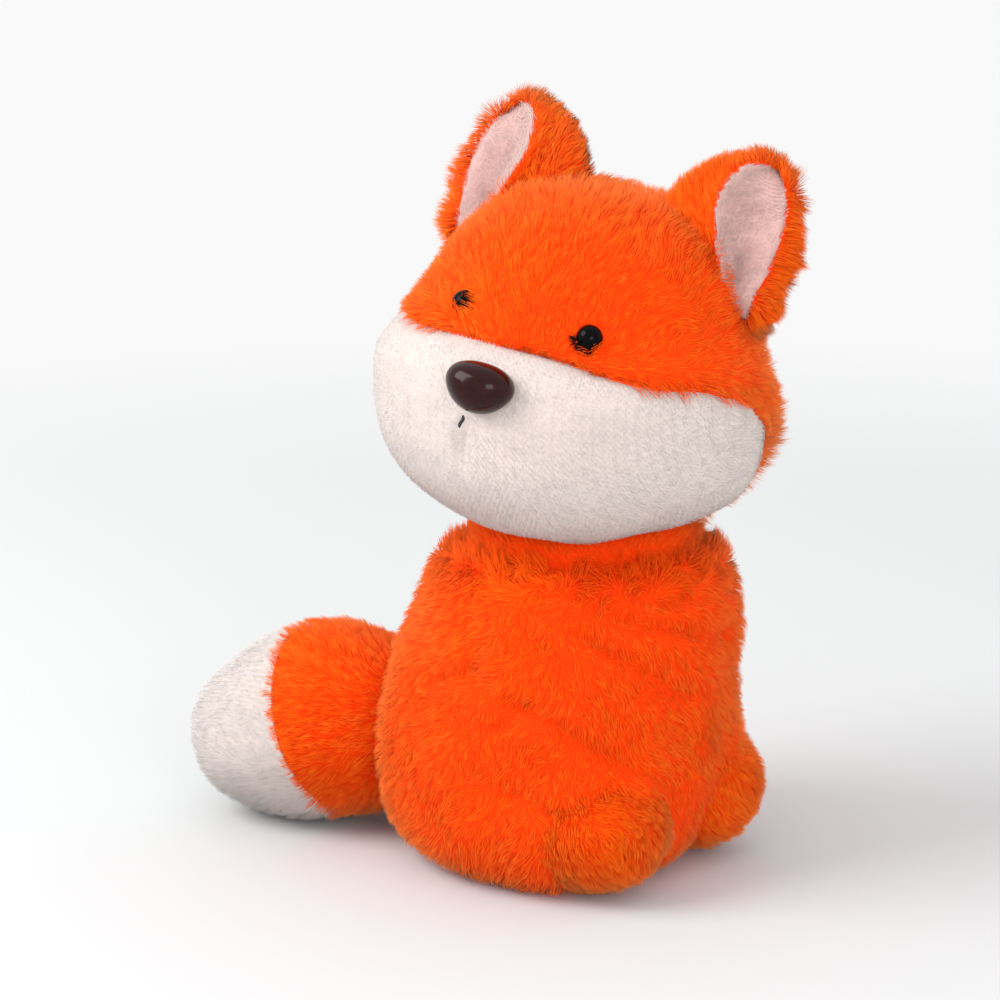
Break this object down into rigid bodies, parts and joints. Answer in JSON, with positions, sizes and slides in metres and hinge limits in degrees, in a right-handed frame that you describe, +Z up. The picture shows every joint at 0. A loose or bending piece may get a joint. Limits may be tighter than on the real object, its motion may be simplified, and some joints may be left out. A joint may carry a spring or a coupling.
{
  "type": "plush fox",
  "caption": "Sitting plush fox with a turning head, folding ears and a swinging tail; it stands on the flat of its weighted base.",
  "frame": {"origin": "centre of the flat base panel under the body, on the floor", "axes": "+Z up; the body faces -Y and its own right side is -X; the head is sewn turned about 79 degrees to its right"},
  "size_m": [0.1257, 0.1813, 0.2256],
  "materials": {
    "base_panel": "long orange pile",
    "body_skin": "long orange pile",
    "body_stuffing": "loose polyester fibre",
    "ear_left": "long orange pile",
    "ear_lining_left": "short pink-white pile",
    "ear_lining_right": "short pink-white pile",
    "ear_right": "long orange pile",
    "eye_left": "glossy black",
    "eye_right": "glossy black",
    "eye_washer_left": "clear moulded",
    "eye_washer_right": "clear moulded",
    "front_paw_left": "long orange pile",
    "front_paw_right": "long orange pile",
    "head_skin": "long orange pile",
    "head_stuffing": "loose polyester fibre",
    "mouth_stitch": "black thread",
    "muzzle_panel": "short white pile",
    "neck_stuffing": "loose polyester fibre",
    "nose": "glossy dark brown",
    "nose_washer": "clear moulded",
    "paw_stuffing_left": "loose polyester fibre",
    "paw_stuffing_right": "loose polyester fibre",
    "pellet_bag": "woven bag",
    "tail_sleeve": "long orange pile",
    "tail_stuffing": "loose polyester fibre",
    "tail_tip": "long white pile"
  },
  "bodies": {
    "body": {"body_skin": "body_skin", "base_panel": "base_panel", "body_stuffing": "body_stuffing", "pellet_bag": "pellet_bag", "front_paw_left": "front_paw_left", "front_paw_right": "front_paw_right", "paw_stuffing_left": "paw_stuffing_left", "paw_stuffing_right": "paw_stuffing_right"},
    "neck": {"neck_stuffing": "neck_stuffing"},
    "head": {"head_skin": "head_skin", "muzzle_panel": "muzzle_panel", "head_stuffing": "head_stuffing", "eye_left": "eye_left", "eye_right": "eye_right", "eye_washer_left": "eye_washer_left", "eye_washer_right": "eye_washer_right", "nose": "nose", "nose_washer": "nose_washer", "mouth_stitch": "mouth_stitch"},
    "ear_on_right": {"ear_right": "ear_right", "ear_lining_right": "ear_lining_right"},
    "ear_on_left": {"ear_left": "ear_left", "ear_lining_left": "ear_lining_left"},
    "tail": {"tail_sleeve": "tail_sleeve", "tail_tip": "tail_tip", "tail_stuffing": "tail_stuffing"}
  },
  "joints": [
    {"name": "neck_turn", "type": "hinge", "parent": "body", "child": "neck", "pos_m": [0, -0.0106, 0.1025], "axis": [0, 0, 1], "range_deg": [-20, 20], "stiffness_Nm_per_rad": 0.3},
    {"name": "head_nod", "type": "hinge", "parent": "neck", "child": "head", "pos_m": [0, -0.0106, 0.1025], "axis": [0.1908, -0.9816, 0], "range_deg": [-6, 6], "stiffness_Nm_per_rad": 1},
    {"name": "ear_right_fold", "type": "hinge", "parent": "head", "child": "ear_on_right", "pos_m": [0.00429, 0.01712, 0.19563], "axis": [0.281, -0.8626, 0.4207], "range_deg": [-12, 12], "stiffness_Nm_per_rad": 0.05},
    {"name": "ear_left_fold", "type": "hinge", "parent": "head", "child": "ear_on_left", "pos_m": [0.01654, -0.0459, 0.18547], "axis": [0.0293, -0.7342, -0.6783], "range_deg": [-12, 12], "stiffness_Nm_per_rad": 0.05},
    {"name": "tail_swing", "type": "hinge", "parent": "body", "child": "tail", "pos_m": [-0.01, 0.0485, 0.0315], "axis": [0, 0, 1], "range_deg": [-12, 12], "stiffness_Nm_per_rad": 0.1}
  ]
}
